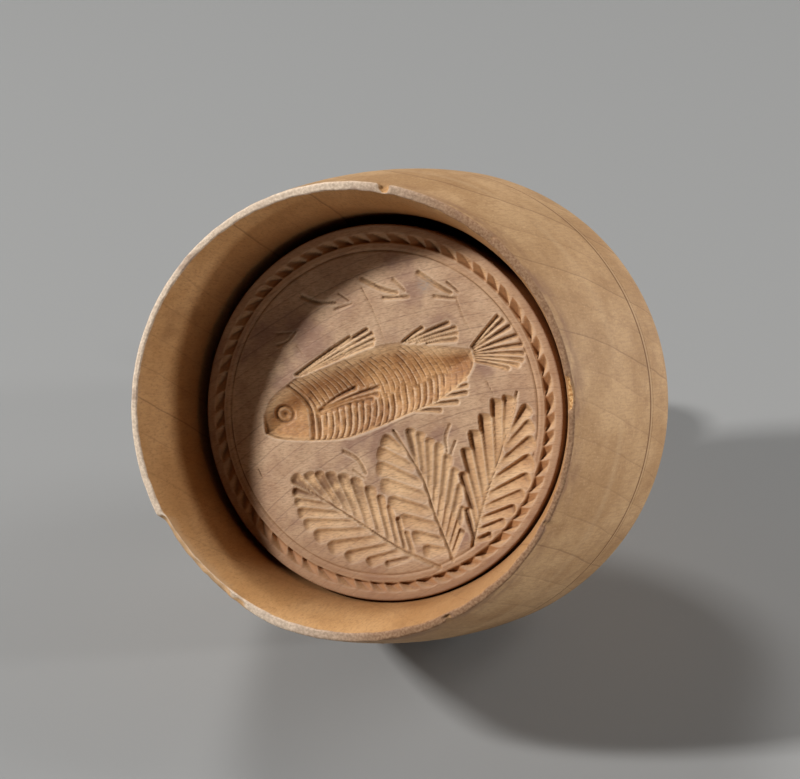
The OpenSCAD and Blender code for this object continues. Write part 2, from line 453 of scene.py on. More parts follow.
def fish_axes(cut):
    """Places along the fish, from its middle towards the tail, and across it, towards its back."""
    dx, dy = cut.x - FISH_MID[0], cut.y - FISH_MID[1]
    return (dx * math.cos(FISH_TURN) + dy * math.sin(FISH_TURN),
            dy * math.cos(FISH_TURN) - dx * math.sin(FISH_TURN))


def carve_fish(cut):
    """The fish: a hollow body with scales, gills and an eye, and fans of fin rays. Returns its scales."""
    outline = np.vstack([curve(FISH_TOP), curve(FISH_BOTTOM)])
    within = cut.inside(outline)
    share = np.clip(within / FISH_EDGE, 0, 1)
    back = BACK_SLOPE * smooth_step(-1.0, 5.0, fish_axes(cut)[1])
    steep, gentle = SECTIONS["hollow"](1 - share), SECTIONS["eased"](1 - share)
    body = FISH_DEPTH * (steep * (1 - back) + gentle * back)
    in_body = within > 0.25
    cut.depth = np.maximum(cut.depth, body)
    scales = carve_scales(cut, in_body)
    cut.gouge(GILL, (0.8, 1.0), (0.4, 0.55), "eased", lean=0.3, onto=True)
    second_gill = [(x + 1.5, y + 0.3) for x, y in GILL[1:]]
    cut.gouge(second_gill, (0.6, 0.8), (0.2, 0.35), "eased", onto=True)
    ring = np.hypot(cut.x - EYE_AT[0], cut.y - EYE_AT[1])
    cut.depth += EYE_RING_D * np.clip(1 - np.abs(ring - EYE_R) / EYE_RING_HALF, 0, 1)
    cut.depth += EYE_PIT_D * np.clip(1 - ring / EYE_PIT_R, 0, 1)
    for fan in FINS.values():
        carve_rays(cut, fan, FIN_RAY, FIN_BEND)
    carve_rays(cut, BREAST_FIN, BREAST_RAY, BREAST_BEND, onto=True)
    return scales


def carve_rays(cut, fan, ray, rise, onto=False):
    """A fan of fin rays from their roots to their tips."""
    for root, tip in zip(*fan):
        middle = ((root[0] + tip[0]) / 2, (root[1] + tip[1]) / 2 + rise)
        cut.gouge([root, middle, tip], *ray, "eased", lean=FIN_LEAN, onto=onto)


# The two rows of scales: distance between strokes, depth, and where across the fish the row begins and
# ends
UPPER_ROW, LOWER_ROW = (1.45, 0.20, -0.6, 9.9), (1.75, 0.48, -9.5, 0.6)
# How strongly strokes bend, where they begin and where they fade towards the tail, the share of a scale
# that slopes down before its steep end, and how unevenly strokes begin and end
SCALE_BEND, SCALES_FROM, SCALES_FADE, SCALE_SLOPE, STROKE_STRAY = 0.035, -19.2, (14, 24), 0.78, 0.7


def carve_scales(cut, in_body):
    """Two rows of curved strokes across the fish, from the gill nearly to the tail. Returns each point's
    count of strokes from the head, and how much of the strokes is seen there."""
    u, v = fish_axes(cut)
    plane = np.column_stack([cut.x, cut.y])
    bent = u + SCALE_BEND * (v + 1) ** 2 + 0.14 * ripple(plane, 9.0)
    border = 0.35 * ripple(plane, 3.5) - 0.9 * smooth_step(-4, 6, u)
    fin = Carving(cut.x, cut.y)
    fin.gouge(BREAST_FIN_MIDDLE, (1.0, 2.1), (1, 1), "hollow")
    free = in_body * (1 - np.clip(fin.depth * 1.6, 0, 1))
    faint = np.clip(0.8 + 0.4 * ripple(plane, 4.0), 0.15, 1)
    count, seen = np.zeros(len(u)), np.zeros(len(u))
    for pitch, deep, low, high in (LOWER_ROW, UPPER_ROW):
        number = bent / pitch
        part = number % 1
        stray = v - border - STROKE_STRAY * np.sin(np.floor(number) * 5.1)
        here = smooth_step(low, low + 1.2, stray) * (1 - smooth_step(high - 1.2, high, stray))
        here = here * smooth_step(SCALES_FROM, SCALES_FROM + 0.8, bent) * free * faint
        here = here * (1 - 0.75 * smooth_step(*SCALES_FADE, bent))
        chip = np.where(part < SCALE_SLOPE, (part / SCALE_SLOPE) ** 1.4,
                        (1 - part) / (1 - SCALE_SLOPE))
        uneven = 1 + 0.3 * np.sin(np.floor(number) * 7.3)
        cut.depth += deep * uneven * chip * here
        count = np.where(here > seen, number, count)
        seen = np.maximum(seen, here)
    return count, seen


# Each leaf: its midrib from the tip to the stem and, for each of its sides, the cuts from the tip down.
# A cut is the place where it ends at the leaf's edge and the place where it leaves the midrib. Each
# side's cuts have a lean, and all have a width, as a share of the distance between them.
LEAF_LEFT = {
    "rib": [(-19.5, -22.0), (-11.0, -25.0), (0.0, -29.3), (10.0, -33.2), (21.0, -35.9)],
    "sides": [
        [((-21.9, -20.7), (-14.0, -23.8)), ((-18.4, -19.0), (-11.0, -24.6)),
         ((-15.7, -18.1), (-8.0, -25.6)), ((-12.6, -17.6), (-5.0, -26.6)),
         ((-9.1, -17.3), (-2.0, -28.0)), ((-5.6, -17.6), (1.0, -29.3)),
         ((-1.4, -18.9), (4.0, -30.4)), ((1.9, -20.6), (6.8, -31.6)),
         ((4.9, -22.7), (9.2, -32.7)), ((7.7, -25.3), (11.4, -33.5)), ((10.2, -28.4), (13.6, -34.2))],
        [((-20.9, -23.4), (-13.6, -24.2)), ((-20.0, -25.8), (-10.0, -25.6)),
         ((-18.8, -28.4), (-6.4, -27.0)), ((-16.8, -31.0), (-2.8, -28.5)),
         ((-13.6, -33.4), (0.8, -29.9)), ((-9.4, -35.8), (4.2, -31.2)),
         ((-4.5, -37.4), (7.4, -32.5)), ((1.3, -37.8), (10.0, -33.5)), ((6.4, -37.4), (13.2, -34.6))]],
    "width": 0.66, "depth": (0.30, 0.90), "lean": (0.38, -0.40),
}
LEAF_MIDDLE = {
    "rib": [(3.6, -3.9), (9.0, -9.8), (13.3, -15.0), (17.0, -22.0), (20.6, -28.0), (24.0, -33.4)],
    "sides": [
        [((1.0, -5.6), (7.4, -8.6)), ((0.2, -9.0), (10.0, -12.0)), ((0.5, -12.7), (12.4, -15.4)),
         ((2.2, -16.8), (14.6, -18.6)), ((4.8, -21.0), (16.6, -22.2)),
         ((8.4, -25.0), (18.6, -25.6)), ((12.2, -28.6), (20.6, -28.8)),
         ((15.6, -31.6), (22.2, -31.2))],
        [((7.2, -2.6), (11.0, -11.8)), ((9.8, -2.9), (13.6, -15.6)), ((12.6, -4.0), (15.4, -18.8)),
         ((15.3, -4.9), (17.0, -21.8)), ((18.0, -7.2), (18.6, -24.6)),
         ((20.5, -10.2), (20.2, -27.0)), ((22.7, -14.0), (21.4, -29.0)),
         ((24.2, -19.4), (22.5, -31.0)), ((24.8, -25.0), (23.4, -32.4))]],
    "width": 0.66, "depth": (0.35, 0.85), "lean": (-0.42, 0.46),
}
LEAF_RIGHT = {
    "rib": [(34.3, 11.0), (33.2, 2.0), (32.0, -6.0), (30.0, -16.0), (28.8, -24.0), (28.5, -29.2)],
    "sides": [
        [((31.1, 10.0), (32.6, -3.0)), ((28.1, 8.6), (31.6, -9.0)), ((25.5, 4.2), (30.6, -13.6)),
         ((23.4, -0.4), (29.7, -17.6)), ((22.1, -5.2), (29.1, -21.0)),
         ((22.2, -11.4), (28.8, -24.0)), ((24.8, -20.0), (28.5, -27.2))],
        [((37.1, 8.6), (33.9, 0.6)), ((38.6, 5.0), (33.2, -3.2)), ((39.8, 1.0), (32.6, -7.2)),
         ((40.2, -3.8), (31.7, -11.4)), ((40.4, -8.5), (30.8, -15.4)),
         ((39.7, -12.8), (30.1, -18.8)), ((38.1, -17.0), (29.6, -21.8)),
         ((35.8, -20.8), (29.1, -24.8)), ((32.8, -24.8), (28.8, -27.6))]],
    "width": 0.68, "depth": (0.50, 1.25), "lean": (0.72, 0.58),
}

# A lobe's rounded end, its half width at the midrib, as shares of its greatest, which has these bounds
LOBE_CAP, LOBE_ROOT, LOBE_BOUNDS = 0.85, 0.62, (1.5, 4.6)


def carve_leaf(cut, leaf):
    """A leaf of gouge cuts side by side, each shallow at the midrib and deepest at the leaf's edge."""
    for lean, lobes in zip(leaf["lean"], leaf["sides"]):
        ends = np.array([end for end, _ in lobes])
        for k, (end, start) in enumerate(lobes):
            start, end = np.array(start), np.array(end)
            way = (end - start) / np.linalg.norm(end - start)
            beside = [ends[j] - end for j in (k - 1, k + 1) if 0 <= j < len(ends)]
            pitch = np.mean([abs(way[0] * gap[1] - way[1] * gap[0]) for gap in beside])
            half = leaf["width"] * np.clip(pitch, *LOBE_BOUNDS)
            depth = np.array(leaf["depth"]) * random.uniform(0.9, 1.1)
            cut.gouge([start, end - way * LOBE_CAP * half], (LOBE_ROOT * half, half), depth, "round",
                      lean=lean, cap=LOBE_CAP, ease=0.75)
    cut.gouge(leaf["rib"], (0.4, 0.6), (0.8, 0.95))


# Sprigs and single strokes cut with a V tool: each a path, its half width and its depth
STROKES = [
    ([(-25.5, 25.8), (-21.0, 25.0), (-16.5, 25.6)], 0.7, 0.6), ([(-15.9, 27.9), (-13.0, 26.6)], 0.5, 0.4),
    ([(-16.2, 24.0), (-12.2, 26.0)], 0.5, 0.4),
    ([(-10.3, 32.6), (-5.5, 31.2), (-0.8, 30.6)], 0.9, 0.75), ([(-2.2, 33.8), (1.3, 31.5)], 0.55, 0.5),
    ([(-4.0, 28.9), (2.4, 30.2)], 0.7, 0.6),
    ([(4.3, 36.6), (8.8, 34.6), (13.2, 33.0)], 0.95, 0.8), ([(12.0, 35.4), (15.4, 33.4)], 0.5, 0.45),
    ([(9.2, 31.4), (14.9, 31.9)], 0.6, 0.55),
    ([(-30.3, 12.7), (-27.5, 14.2), (-26.0, 16.7)], 0.5, 0.4), ([(-31.0, 15.5), (-27.0, 16.4)], 0.4, 0.3),
    ([(-8.6, -11.3), (-4.6, -12.6), (-1.8, -15.8)], 0.65, 0.55),
    ([(-5.2, -15.6), (-2.0, -17.2)], 0.45, 0.4),
    ([(18.2, 0.0), (17.6, -3.4), (18.4, -7.0)], 0.5, 0.5), ([(20.3, -3.9), (19.5, -7.4)], 0.45, 0.5),
    ([(16.0, -4.8), (17.4, -6.8)], 0.35, 0.35),
]
# Fine drying cracks across the face
CRACKS = [[(-10.2, 30.3), (-5.8, 24.5), (-2.2, 18.2)], [(15.0, 31.6), (17.5, 27.5), (20.3, 23.7)],
          [(-25.1, 13.0), (-22.5, 10.5)], [(26.0, 12.4), (28.6, 9.0)], [(-31.0, -20.0), (-27.5, -24.0)]]

# The face's grid, how far it is worn down with its slow and its quick hills, and how uneven cuts are
FACE_STEPS = 288
FACE_LESS, FACE_SWAY, FACE_HILLS, CUT_UNEVEN = 0.10, 0.05, 0.025, 0.012


def face_rings(share):
    """Radius for a share of the way out from the middle, with finer steps over the border."""
    stops = np.array([0, 0.905, 0.985, 1.0])
    radii = np.array([0, FIELD_R + 1.0, ROPE_OUT + 0.5, PRINT_R - FACE_ROUND])
    return np.interp(share, stops, radii)


# The print has shrunk across its grain, and its rim stands a little to the right of its screw
OVAL_TURN, OVAL_MOST, OVAL_LESS, PRINT_SIDE = math.radians(29), 1.0005, 0.006, 0.58


def oval(turn):
    """What the print's shrinking leaves of its radius in this direction."""
    return OVAL_MOST - OVAL_LESS * (1 + np.cos(2 * (turn - OVAL_TURN)))


def print_mesh():
    """The carved print: a square grid drawn out to a disc and sunk by what is cut, with the rest of the
    print closed behind it."""
    bm = bmesh.new()
    bmesh.ops.create_grid(bm, x_segments=FACE_STEPS, y_segments=FACE_STEPS, size=1.0)
    square = points_of(bm)
    u, v = square[:, 0], square[:, 1]
    wide = np.abs(u) > np.abs(v)
    safe_u, safe_v = np.where(wide, u, 1), np.where(wide, 1, np.where(v == 0, 1, v))
    spread = np.where(wide, u, v)
    turn = np.where(wide, math.pi / 4 * v / safe_u, math.pi / 2 - math.pi / 4 * u / safe_v)
    r = np.sign(spread) * face_rings(np.abs(spread))
    x, y = r * np.cos(turn), r * np.sin(turn)

    cut = Carving(x, y)
    steep_face = carve_border(cut)
    count, seen = carve_fish(cut)
    for leaf in (LEAF_LEFT, LEAF_MIDDLE, LEAF_RIGHT):
        carve_leaf(cut, leaf)
    for path, half, depth in STROKES:
        cut.gouge(path, (half, half * 0.8), (depth, depth), lean=0.3)
    for path in CRACKS:
        cut.gouge(path, (0.3, 0.2), (0.3, 0.15))
    plane = np.column_stack([x, y])
    worn = FACE_SWAY * ripple(plane, 22.0) + FACE_HILLS * ripple(plane, 5.0) + FACE_LESS
    depth = cut.depth * (1 + CUT_UNEVEN * ripple(plane, 1.6)) + worn

    index = np.rint((square[:, :2] + 1) / 2 * FACE_STEPS).astype(int)
    sheet = np.zeros((FACE_STEPS + 1, FACE_STEPS + 1))
    sheet[index[:, 0], index[:, 1]] = depth
    dug = (blurred(sheet, 2) - sheet)[index[:, 0], index[:, 1]]

    shrink = oval(np.arctan2(y, x))
    move_to(bm, np.column_stack([x * shrink + PRINT_SIDE, y * shrink, -depth]))
    store(bm, "carved", np.clip(cut.depth / 0.6, 0, 1))
    store(bm, "deep", np.clip(cut.depth / 2.5, 0, 1))
    store(bm, "crevice", np.clip(-dug / 0.16, 0, 1))
    store(bm, "edge", np.clip(dug / 0.12, 0, 1))
    store(bm, "steep", steep_face)
    store(bm, "stroke_count", count)
    store(bm, "stroke_seen", seen)
    close_print(bm)
    return bm


def blurred(sheet, reach):
    """The sheet's local mean over a square of this reach."""
    for axis in (0, 1):
        padded = np.pad(sheet, [(reach + 1, reach) if a == axis else (0, 0) for a in (0, 1)], mode="edge")
        total = np.cumsum(padded, axis=axis)
        size = 2 * reach + 1
        ahead = np.take(total, range(size, total.shape[axis]), axis=axis)
        behind = np.take(total, range(0, total.shape[axis] - size), axis=axis)
        sheet = (ahead - behind) / size
    return sheet


def close_print(bm):
    """Gives the carved face its rounded rim, its side, its back and the handle's blind hole."""
    rim = arc((PRINT_R - FACE_ROUND, -FACE_ROUND), FACE_ROUND, 60, 0, 2)
    side = [(PRINT_R, -z) for z in (3.0, 7.0, 10.5, PRINT_T - BACK_BEVEL)]
    hole_r = TENON_R + SCREW_FIT
    back = [(PRINT_R - BACK_BEVEL, -PRINT_T), (hole_r + 16.0, -PRINT_T), (hole_r + 0.4, -PRINT_T),
            (hole_r, 0.4 - PRINT_T), (hole_r, TENON_L + REST_GAP - PRINT_T)]
    loop = [e for e in bm.edges if e.is_boundary]
    centre = PRINT_SIDE
    for r, z in rim + side + back:
        grown = bmesh.ops.extrude_edge_only(bm, edges=loop)["geom"]
        loop = [g for g in grown if isinstance(g, bmesh.types.BMEdge) and g.is_boundary]
        on_rim = r > (PRINT_R + hole_r) / 2
        for vert in {v for e in loop for v in e.verts}:
            turn = math.atan2(vert.co.y, vert.co.x - centre)
            reach = r * oval(turn) if on_rim else r
            vert.co = (reach * math.cos(turn) + PRINT_SIDE * on_rim, reach * math.sin(turn), z)
        centre = PRINT_SIDE * on_rim
    bmesh.ops.edgeloop_fill(bm, edges=loop)
    bmesh.ops.recalc_face_normals(bm, faces=bm.faces)


# The handle

# The wooden screw, the gap that keeps the shoulder off the print, the two fine rings round the knob and
# how far the shaft stays within its radius
THREAD_PITCH, THREAD_D, SHOULDER_GAP = 3.4, 0.9, 0.12
KNOB_RINGS, RING_HALF, RING_D = (-1.2, 1.2), 0.45, 0.35
SHAFT_LESS, SHAFT_UNEVEN = 0.07, 0.03


def handle_profile():
    """Points (r, z) with z = 0 at the print's back, from the screwed end to the knob's crown."""
    rise = KNOB_Z - PRINT_DEPTH - PRINT_T
    under = -math.degrees(math.acos((SHAFT_R - KNOB_C) / KNOB_ARC))
    screw = [(TENON_R, z) for z in np.arange(0.8 - TENON_L, -0.6, 0.3)]
    neck = rise + KNOB_ARC * math.sin(math.radians(under))
    shaft = [(SHAFT_R, z) for z in np.linspace(SHOULDER_GAP + 0.3, neck - 1, 44)]
    return [(0, -TENON_L), (TENON_R - 2.0, -TENON_L), (TENON_R - 1.0, 0.1 - TENON_L), *screw,
            (TENON_R, 0), (TENON_R, SHOULDER_GAP), (SHAFT_R - 0.3, SHOULDER_GAP), *shaft,
            *arc((KNOB_C, rise), KNOB_ARC, under, 90, 34), (KNOB_C / 2, rise + KNOB_ARC),
            (0, rise + KNOB_ARC)]


def handle_mesh():
    """The turned handle, with its screw cut, its shaft a little uneven and its knob ringed."""
    bm = turned(handle_profile(), 128)
    points = points_of(bm)
    r = np.hypot(points[:, 0], points[:, 1])
    z = points[:, 2]
    turn = np.arctan2(points[:, 1], points[:, 0])
    wave = np.abs(((z / THREAD_PITCH - turn / math.tau) % 1) - 0.5) * 2
    on_screw = smooth_step(-TENON_L, 1.8 - TENON_L, z) * (z < -0.7) * (r > TENON_R - 0.6)
    less = on_screw * THREAD_D * wave
    rise = KNOB_Z - PRINT_DEPTH - PRINT_T
    rings = sum(np.exp(-((z - rise - at) / RING_HALF) ** 2) for at in KNOB_RINGS)
    less = less + RING_D * rings * (r > SHAFT_R)
    on_shaft = (z > 0.5) & (r > SHAFT_R - 1)
    spots = np.column_stack([points[:, :2], z * 0.25])
    less = less + np.where(on_shaft, SHAFT_LESS + SHAFT_UNEVEN * ripple(spots, 9.0), 0)
    scale = np.where(r > 1e-6, (r - less) / np.maximum(r, 1e-6), 1)
    move_to(bm, np.column_stack([points[:, 0] * scale, points[:, 1] * scale, z]))
    return bm


# Materials: shader sums are written as Python expressions

# A painted highlight: a lighter band round the outside. A grey stain on the print's face, and a brown
# mark at the left leaf's tips that is partly stain and partly painted shade.
HIGHLIGHT_BAND_Z, STAIN_AT, LEAF_TIPS_STAIN_AND_SHADE = 34.0, (6.9, 33.6), (-11.0, -20.0)
# Growth rings of each piece: their centre (x, y) where z is 0, how far it moves down for each millimetre
# along the axis, their width, how much they sway and their line's share of that width
CASE_RINGS = (30.0, -190.0), 0.17, 8.2, 14.0, 0.075
PRINT_RINGS = (62.0, -98.0), 0.0, 3.4, 7.0, 0.16
HANDLE_RINGS = (14.0, 6.0), 0.02, 3.2, 4.0, 0.14
WOOD_BUMP = 0.08 * MM

# Colours, linear, named for what shows them
OUTSIDE = {
    "pale": (0.59, 0.365, 0.185), "tan": (0.46, 0.265, 0.122), "brown": (0.27, 0.135, 0.058),
    "patch": (0.33, 0.17, 0.075), "light_speck": (0.70, 0.47, 0.26), "ring": (0.22, 0.11, 0.05),
    "scribed": (0.20, 0.095, 0.04), "beside_line": (0.25, 0.125, 0.055),
    "between_lines": (0.72, 0.48, 0.27), "painted_highlight_band": (0.76, 0.55, 0.34), "held": (0.25, 0.125, 0.07),
}
INSIDE = {
    "pale": (0.68, 0.405, 0.185), "tan": (0.56, 0.305, 0.12), "speck": (0.28, 0.125, 0.045),
    "fibre": (0.36, 0.175, 0.07), "ring": (0.16, 0.07, 0.03), "right": (0.21, 0.085, 0.03),
    "deep": (0.22, 0.08, 0.02), "smudge": (0.22, 0.10, 0.04),
}
LIP = {
    "light": ((0.64, 0.49, 0.36), (0.84, 0.67, 0.51)),
    "handled": ((0.24, 0.12, 0.058), (0.38, 0.215, 0.115)),
    "grime": (0.27, 0.155, 0.11), "rubbed": (0.62, 0.41, 0.235),
    "torn": ((0.36, 0.15, 0.04), (0.80, 0.50, 0.22)),
}
PRINT = {
    "field": ((0.69, 0.46, 0.285), (0.53, 0.325, 0.195)), "cloud": (0.34, 0.19, 0.135),
    "shallow_cut": ((0.84, 0.545, 0.29), (0.66, 0.39, 0.19)),
    "deep_cut": ((0.68, 0.36, 0.145), (0.46, 0.205, 0.07)), "cut_cloud": (0.42, 0.20, 0.08),
    "shaded_groove": (0.22, 0.085, 0.025), "crest": (0.90, 0.69, 0.48), "steep": (0.46, 0.19, 0.06),
    "dark_grain": (0.26, 0.13, 0.07), "light_grain": (0.84, 0.64, 0.44), "scratch": (0.33, 0.18, 0.12),
    "ring": (0.20, 0.10, 0.06), "crevice": (0.15, 0.065, 0.025), "edge": (0.84, 0.62, 0.42),
    "border": (0.46, 0.23, 0.10), "rim": (0.30, 0.16, 0.10), "leaf_tips_stain_and_shade": (0.20, 0.095, 0.045),
    "bottom": (0.30, 0.145, 0.07), "stain": (0.20, 0.185, 0.19),
}
KNOB = {
    "pale": (0.60, 0.375, 0.195), "tan": (0.47, 0.275, 0.135), "fibre": (0.28, 0.145, 0.065),
    "speck": (0.25, 0.125, 0.055), "ring": (0.17, 0.08, 0.035), "held": (0.24, 0.125, 0.07),
}


class Value:
    """A shader socket that an operator takes as a number."""

    def __init__(self, graph, socket):
        self.graph, self.socket = graph, socket

    def math(self, operation, *others):
        """A Math node that takes this value first."""
        inputs = dict(enumerate((self, *others)))
        return self.graph.node("ShaderNodeMath", {"operation": operation}, inputs)

    def __add__(self, other):
        return self.math("ADD", other)

    def __sub__(self, other):
        return self.math("SUBTRACT", other)

    def __rsub__(self, other):
        return self.graph.node("ShaderNodeMath", {"operation": "SUBTRACT"}, {0: other, 1: self})

    def __mul__(self, other):
        return self.math("MULTIPLY", other)

    def __truediv__(self, other):
        return self.math("DIVIDE", other)

    def __pow__(self, other):
        return self.math("POWER", other)

    __radd__ = __add__
    __rmul__ = __mul__

    def between(self, low, high):
        """Goes smoothly from 0 at low to 1 at high."""
        return self.graph.node("ShaderNodeMapRange", {"interpolation_type": "SMOOTHSTEP"},
                               {"Value": self, "From Min": low, "From Max": high})

    def near(self, middle, low, high):
        """Is 1 within low of the middle and falls smoothly to 0 at high from it."""
        return 1 - (self - middle).math("ABSOLUTE").between(low, high)


class Graph:
    """A material's nodes."""

    def __init__(self, name):
        self.material = bpy.data.materials.new(name)
        self.material.use_nodes = True
        self.tree = self.material.node_tree
        self.tree.nodes.clear()

    def node(self, kind, settings=None, inputs=None, output=0):
        """A new node with its settings, then the values or links of its sockets. Returns its output."""
        made = self.tree.nodes.new(kind)
        for name, value in (settings or {}).items():
            setattr(made, name, value)
        for name, value in (inputs or {}).items():
            if isinstance(value, Value):
                self.tree.links.new(value.socket, made.inputs[name])
            else:
                made.inputs[name].default_value = value
        return Value(self, made.outputs[output]) if made.outputs else None

    def place(self, matrix):
        """The piece's own millimetres: its Object coordinates, placed by the matrix."""
        where = self.node("ShaderNodeTexCoord", output="Object")
        location, turn, scale = matrix.decompose()
        return self.node("ShaderNodeMapping", {"vector_type": "TEXTURE"},
                         {"Vector": where, "Location": location, "Rotation": turn.to_euler(),
                          "Scale": scale})

    def stretch(self, vector, by):
        """The vector with each axis multiplied by its number."""
        return self.node("ShaderNodeVectorMath", {"operation": "MULTIPLY"}, {0: vector, 1: by})

    def split(self, vector):
        """The vector's x, y and z."""
        first = self.node("ShaderNodeSeparateXYZ", None, {0: vector})
        return [Value(self, out) for out in first.socket.node.outputs]

    def noise(self, vector, by, detail=2.0, rough=0.5, warp=0.0):
        """Cloud noise of about 0 to 1, with the vector's axes stretched by these numbers."""
        return self.node("ShaderNodeTexNoise", {"noise_dimensions": "3D"},
                         {"Vector": self.stretch(vector, by), "Scale": 1.0, "Detail": detail,
                          "Roughness": rough, "Distortion": warp})

    def attribute(self, name):
        """A number stored on the mesh."""
        return self.node("ShaderNodeAttribute", {"attribute_type": "GEOMETRY", "attribute_name": name},
                         output="Fac")

    def mix(self, share, first, second):
        """A colour that goes from the first to the second as share goes from 0 to 1."""
        first, second = (c if isinstance(c, Value) else (*c, 1) for c in (first, second))
        return self.node("ShaderNodeMix", {"data_type": "RGBA"}, {0: share, 6: first, 7: second},
                         output=2)

    def paint(self, colour, *coats):
        """The colour under coats laid one after the other, each a share and the coat's own colour."""
        for share, coat in coats:
            colour = self.mix(share, colour, coat)
        return colour

    def surface(self, colour, roughness, height, sheen=0.3):
        """Ends the material: a wooden surface with this colour, roughness and fine height."""
        bump = self.node("ShaderNodeBump", None,
                         {"Height": height, "Distance": WOOD_BUMP, "Strength": 1.0})
        shader = self.node("ShaderNodeBsdfPrincipled", None,
                           {"Base Color": colour, "Roughness": roughness, "Normal": bump,
                            "Specular IOR Level": sheen})
        self.node("ShaderNodeOutputMaterial", None, {"Surface": shader})
        return self.material


def away(dx, dy):
    """How far off a place is by these two steps."""
    return (dx * dx + dy * dy) ** 0.5


def growth(graph, at, centre, lean, pitch, sway, width):
    """Growth rings. Returns the place within a ring from 0 to 1, the ring's own shade from 0 to 1 and the
    fine dark line at its end, which is sharp on its outer side."""
    slow = graph.noise(at, (0.013, 0.013, 0.008), 1.0)
    quick = graph.noise(at, (0.09, 0.09, 0.03), 2.0)
    x, y, z = graph.split(at)
    out = away(x - centre[0], y - centre[1] - z * lean)
    rings = (out + (slow - 0.5) * sway + (quick - 0.5) * sway * 0.12) / pitch
    number = rings.math("FLOOR")
    shade = graph.node("ShaderNodeTexWhiteNoise", {"noise_dimensions": "1D"}, {"W": number})
    share = rings.math("FRACT")
    line = share.between(1 - width, 1 - 0.3 * width) * (1 - share.between(1 - 0.2 * width, 1.0))
    return share, shade, line


def turned_noises(graph, at):
    """Noises of turned wood: fibres along the axis, specks and slow blotches."""
    return (graph.noise(at, (1.9, 1.9, 0.12), 3.0, 0.6), graph.noise(at, (1.7, 1.7, 0.75), 3.0, 0.62),
            graph.noise(at, (0.06, 0.06, 0.035), 4.0, 0.55))


def outside_colour(graph, at, noises, share, ring):
    """The case's outside, darker round its scribed lines, most along the first, and lighter in a thin
    band between them.
    """
    fibre, speck, blotch = noises
    z = graph.split(at)[2]
    patch = graph.noise(at, (0.13, 0.13, 0.09), 4.0, 0.62)
    return graph.paint(
        graph.mix(blotch.between(0.38, 0.64), OUTSIDE["pale"], OUTSIDE["tan"]),
        (patch.between(0.50, 0.72) * 0.42, OUTSIDE["patch"]),
        (fibre.between(0.62, 0.3) * 0.30, OUTSIDE["brown"]),
        (speck.between(0.54, 0.74) * 0.40, OUTSIDE["brown"]),
        (speck.between(0.46, 0.28) * 0.35, OUTSIDE["light_speck"]),
        (share * 0.12, OUTSIDE["brown"]),
        (ring, OUTSIDE["ring"]),
        (z.near(LINE_Z, 0.25, 1.0) * 0.75, OUTSIDE["scribed"]),
        (z.near(LINE_Z + 0.8, 0.8, 2.2) * 0.30, OUTSIDE["beside_line"]),
        (z.near(LINE_Z + LINE_GAP / 2, 0.3, 1.0) * 0.3, OUTSIDE["between_lines"]),
        # Painted highlight: a lighter band round the outside, broken up by the blotches
        (z.near(HIGHLIGHT_BAND_Z, 0.5, 3.4) * blotch.between(0.35, 0.6) * 0.14, OUTSIDE["painted_highlight_band"]))


def inside_colour(graph, at, noises, ring):
    """The case's inside, which butter has turned warmer, with painted shade: darker to the right and
    farther in, so that less light bounces onto the print's shaded part.
    """
    fibre, speck, blotch = noises
    x, _, z = graph.split(at)
    smudge = graph.noise(at, (0.08, 0.08, 0.05), 3.0, 0.6)
    return graph.paint(
        graph.mix(blotch.between(0.3, 0.7), INSIDE["pale"], INSIDE["tan"]),
        (speck.between(0.50, 0.74) * 0.40, INSIDE["speck"]),
        (fibre.between(0.62, 0.3) * 0.3, INSIDE["fibre"]),
        (ring, INSIDE["ring"]),
        # Painted shade: the right side of the inside is darker, so it bounces less light onto the shaded
        # print
        (x.between(5.0, 40.0) * 0.5, INSIDE["right"]),
        # Painted shade: the inside darkens farther in, towards the print
        (z.between(10.0, 30.0) * 0.5, INSIDE["deep"]),
        (smudge.between(0.56, 0.72) * 0.35, INSIDE["smudge"]))


def lip_colour(graph, at, streak):
    """The lip: light where it is bare and brown on the right, where hands have held it."""
    x = graph.split(at)[0]
    grime = graph.noise(at, (0.11, 0.11, 0.3), 3.0, 0.6)
    return graph.paint(
        graph.mix(streak.between(0.36, 0.66), *LIP["light"]),
        (x.between(-20.0, 24.0) * 0.96, graph.mix(streak.between(0.34, 0.66), *LIP["handled"])),
        (grime.between(0.54, 0.68) * 0.5, LIP["grime"]))


def case_wood():
    """The case's wood, outside, inside, on the lip and in the chips."""
    graph = Graph("case_wood")
    at = graph.place(MOULD)
    noises = fibre, speck, _ = turned_noises(graph, at)
    share, shade, line = growth(graph, at, *CASE_RINGS)
    ring = line * ((shade ** 1.6) * 0.5 + 0.08)
    x, y, z = graph.split(at)
    inner = (1 - away(x, y).between(54.8, 55.9)) * (1 - z.between(84.0, 92.0))
    lip = 1 - z.between(0.35, 0.8)
    streak = graph.noise(at, (1.5, 1.5, 0.8), 4.0, 0.6)
    grip = graph.noise(at, (0.09, 0.09, 0.16), 3.0, 0.6)
    held = (1 - z.between(1.0, 11.0)) * (1 - inner) * grip.between(0.34, 0.62) * x.between(-15.0, 30.0)
    fibres = graph.noise(at, (1.6, 1.6, 0.4), 3.0, 0.6)
    colour = graph.paint(
        outside_colour(graph, at, noises, share, ring),
        (inner, inside_colour(graph, at, noises, ring)),
        (held * 0.75, OUTSIDE["held"]),
        (lip, lip_colour(graph, at, streak)),
        (graph.attribute("rubbed").between(0.25, 0.7) * 0.6, LIP["rubbed"]),
        (graph.attribute("torn").between(0.12, 0.4), graph.mix(fibres.between(0.35, 0.65), *LIP["torn"])))
    roughness = 0.54 + fibre * 0.14 + lip * 0.2
    turned_marks = graph.noise(at, (0.02, 0.02, 1.3), 3.0, 0.6)
    height = fibre * 0.5 + speck * 0.45 + turned_marks * 0.35 + line * -0.25 + lip * streak * 0.12
    return graph.surface(colour, roughness, height, sheen=0.2)


